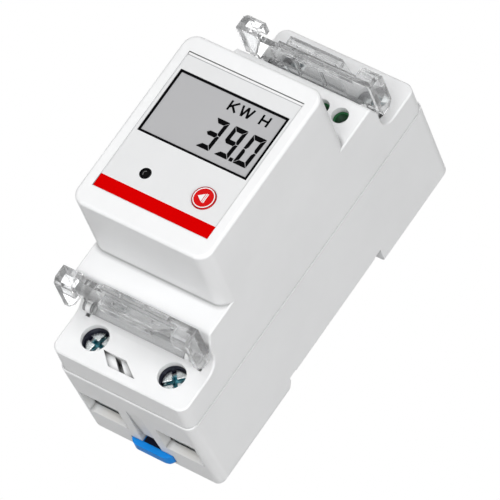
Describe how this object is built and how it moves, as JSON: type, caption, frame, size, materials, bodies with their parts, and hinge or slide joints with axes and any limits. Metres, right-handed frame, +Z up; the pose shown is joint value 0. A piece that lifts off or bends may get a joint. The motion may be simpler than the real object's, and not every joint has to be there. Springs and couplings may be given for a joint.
{
  "type": "energy meter",
  "caption": "Rail-mounted single-phase energy meter with a display, a push button, screw terminals under hinged clear covers and a sliding rail clip.",
  "frame": {"origin": "middle of the seat that lies on the front face of the rail", "axes": "+X across the meter to the right as seen from the front, +Y from the meter towards the rail and the wall, +Z up along the meter"},
  "size_m": [0.036, 0.0645, 0.0911],
  "materials": {
    "white_housing": "fine matt moulded plastic",
    "label_white": "satin printed label",
    "display_black": "matt black",
    "display_grey": "clear front over grey liquid crystal",
    "light_guide": "clear moulded light guide",
    "board_green": "solder mask",
    "button_red": "smooth",
    "part_black": "moulded",
    "lamp_red": "dark clear lens",
    "film_blue": "smooth",
    "can_aluminium": "sleeved can",
    "pin_brass": "plated",
    "terminal_green": "moulded",
    "zinc_steel": "zinc plated",
    "bar_brass": "tinned edges",
    "clear_cover": "clear polycarbonate",
    "clip_blue": "smooth moulded"
  },
  "bodies": {
    "meter": {"front_housing": "white_housing", "base_housing": "white_housing", "label_panel": "label_white", "display_frame": "display_black", "display_glass": "display_grey", "display_backlight": "light_guide", "display_board": "board_green", "button_switch": "part_black", "pulse_lamp": "lamp_red", "main_board": "board_green", "film_capacitor": "film_blue", "filter_capacitor": "can_aluminium", "metering_chip": "part_black", "board_pins": "pin_brass", "signal_terminal": "terminal_green", "signal_screws": "zinc_steel", "neutral_bar": "bar_brass", "phase_bar": "bar_brass", "terminal_cage_1": "zinc_steel", "terminal_screw_1": "zinc_steel", "terminal_cage_2": "zinc_steel", "terminal_screw_2": "zinc_steel", "terminal_cage_3": "zinc_steel", "terminal_screw_3": "zinc_steel", "terminal_cage_4": "zinc_steel", "terminal_screw_4": "zinc_steel"},
    "button": {"push_button": "button_red"},
    "top_cover": {"top_terminal_cover": "clear_cover"},
    "bottom_cover": {"bottom_terminal_cover": "clear_cover"},
    "rail_clip": {"din_clip": "clip_blue"}
  },
  "joints": [
    {"name": "top_cover_hinge", "type": "hinge", "parent": "meter", "child": "top_cover", "pos_m": [0, -0.0334, 0.0336], "axis": [-1, 0, 0], "range_deg": [0, 90]},
    {"name": "bottom_cover_hinge", "type": "hinge", "parent": "meter", "child": "bottom_cover", "pos_m": [0, -0.0334, -0.0351], "axis": [1, 0, 0], "range_deg": [0, 90]},
    {"name": "rail_clip_slide", "type": "slide", "parent": "meter", "child": "rail_clip", "axis": [0, 0, -1], "range_m": [0, 0.004], "stiffness_N_per_m": 1500},
    {"name": "button_press", "type": "slide", "parent": "meter", "child": "button", "axis": [0, 1, 0], "range_m": [0, 0.0004], "stiffness_N_per_m": 1500}
  ]
}
